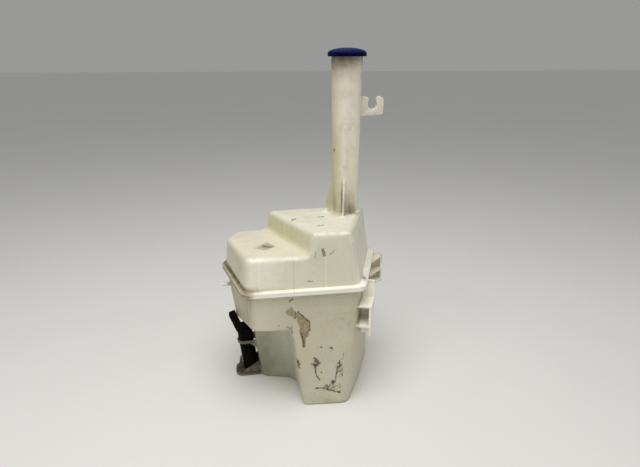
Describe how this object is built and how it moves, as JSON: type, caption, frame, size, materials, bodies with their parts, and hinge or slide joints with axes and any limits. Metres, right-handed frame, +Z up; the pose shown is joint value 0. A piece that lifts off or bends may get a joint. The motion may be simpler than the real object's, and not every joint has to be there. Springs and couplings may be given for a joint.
{
  "type": "washer fluid reservoir",
  "caption": "Cream plastic washer fluid reservoir of two welded shells, with a tall filler neck, a push-on cap, side brackets and an electric pump held beside its base.",
  "frame": {"origin": "on the base plane under the leg, below the middle of the tank", "axes": "+Z up, -Y towards the wide front wall, +X towards the filler neck and the brackets"},
  "size_m": [0.2671, 0.16, 0.514],
  "materials": {
    "tank": "worn natural polypropylene",
    "cap": "satin navy",
    "pump": "black moulded",
    "rubber": "matt",
    "nylon": "natural",
    "steel": "plated",
    "ferrite": "matt",
    "copper": "plain",
    "carbon": "matt"
  },
  "bodies": {
    "tank": {"upper_shell": "tank", "lower_shell": "tank", "pump_housing": "pump", "pump_body": "pump", "pump_cover": "pump", "cover_seal": "rubber", "inlet_grommet": "rubber", "shaft_seal": "rubber", "inlet_strainer": "nylon", "brush_plate": "nylon", "motor_can": "steel", "lower_bearing": "steel", "upper_bearing": "steel", "spring_left": "steel", "spring_right": "steel", "magnet_front": "ferrite", "magnet_rear": "ferrite", "terminal_front": "copper", "terminal_rear": "copper", "brush_left": "carbon", "brush_right": "carbon"},
    "cap": {"filler_cap": "cap"},
    "rotor": {"motor_shaft": "steel", "armature_core": "steel", "armature_windings": "copper", "commutator": "copper", "impeller": "nylon"}
  },
  "joints": [
    {"name": "cap_lift", "type": "slide", "parent": "tank", "child": "cap", "axis": [0, 0, 1], "range_m": [0, 0.04]},
    {"name": "rotor_spin", "type": "hinge", "parent": "tank", "child": "rotor", "pos_m": [-0.09366, 0.053, 0.04874], "axis": [-0.1132, 0, 0.9936], "continuous": true}
  ]
}
